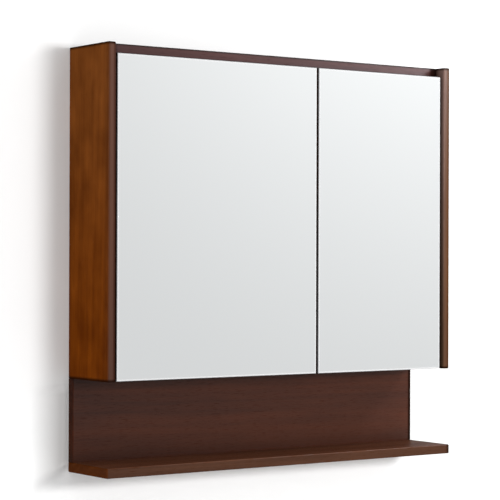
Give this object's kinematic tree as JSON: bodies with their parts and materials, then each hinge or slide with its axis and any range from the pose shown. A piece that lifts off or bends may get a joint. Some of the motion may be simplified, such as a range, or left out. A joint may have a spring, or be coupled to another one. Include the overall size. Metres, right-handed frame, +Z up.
{
  "type": "mirror cabinet",
  "caption": "Wall-hung wooden mirror cabinet with a wide and a narrow inset mirror door on concealed hinges, shelves inside and a full-width open shelf below.",
  "frame": {"origin": "on the wall plane, midway between the two hanging holes", "axes": "+X to the right seen from the front, +Y into the wall, +Z up"},
  "size_m": [0.8, 0.135, 0.772],
  "materials": {
    "stained_wood": "stained and lacquered",
    "back_plywood": "stained plywood",
    "door_backing": "dark stained board",
    "mirror_glass": "silvered glass",
    "nickel_plate": "nickel plated",
    "plated_screw": "zinc plated",
    "beech_dowel": "plain beech",
    "soft_bumper": "clear soft pad"
  },
  "bodies": {
    "carcass": {"back_panel": "back_plywood", "bottom_panel": "stained_wood", "carcass_dowels": "beech_dowel", "centre_divider": "stained_wood", "door_bumpers": "soft_bumper", "hanging_rail": "stained_wood", "hinge_arm_screws": "plated_screw", "hinge_plate_screws": "plated_screw", "left_lower_hinge_arm": "nickel_plate", "left_lower_hinge_plate": "nickel_plate", "left_lower_shelf": "stained_wood", "left_side_panel": "stained_wood", "left_upper_hinge_arm": "nickel_plate", "left_upper_hinge_plate": "nickel_plate", "left_upper_shelf": "stained_wood", "lower_back_panel": "stained_wood", "lower_shelf": "stained_wood", "lower_shelf_screws": "plated_screw", "right_lower_hinge_arm": "nickel_plate", "right_lower_hinge_plate": "nickel_plate", "right_lower_shelf": "stained_wood", "right_side_panel": "stained_wood", "right_upper_hinge_arm": "nickel_plate", "right_upper_hinge_plate": "nickel_plate", "right_upper_shelf": "stained_wood", "shelf_pins": "nickel_plate", "top_panel": "stained_wood"},
    "left_door": {"left_cup_screws": "plated_screw", "left_door_board": "door_backing", "left_hinge_pins": "nickel_plate", "left_hinge_springs": "nickel_plate", "left_lower_hinge_cup": "nickel_plate", "left_mirror": "mirror_glass", "left_upper_hinge_cup": "nickel_plate"},
    "right_door": {"right_cup_screws": "plated_screw", "right_door_board": "door_backing", "right_hinge_pins": "nickel_plate", "right_hinge_springs": "nickel_plate", "right_lower_hinge_cup": "nickel_plate", "right_mirror": "mirror_glass", "right_upper_hinge_cup": "nickel_plate"}
  },
  "joints": [
    {"name": "left_door_hinge", "type": "hinge", "parent": "carcass", "child": "left_door", "pos_m": [-0.3655, -0.1213, -0.262], "axis": [0, 0, -1], "range_deg": [0, 95]},
    {"name": "right_door_hinge", "type": "hinge", "parent": "carcass", "child": "right_door", "pos_m": [0.3655, -0.1213, -0.262], "axis": [0, 0, 1], "range_deg": [0, 95]}
  ]
}
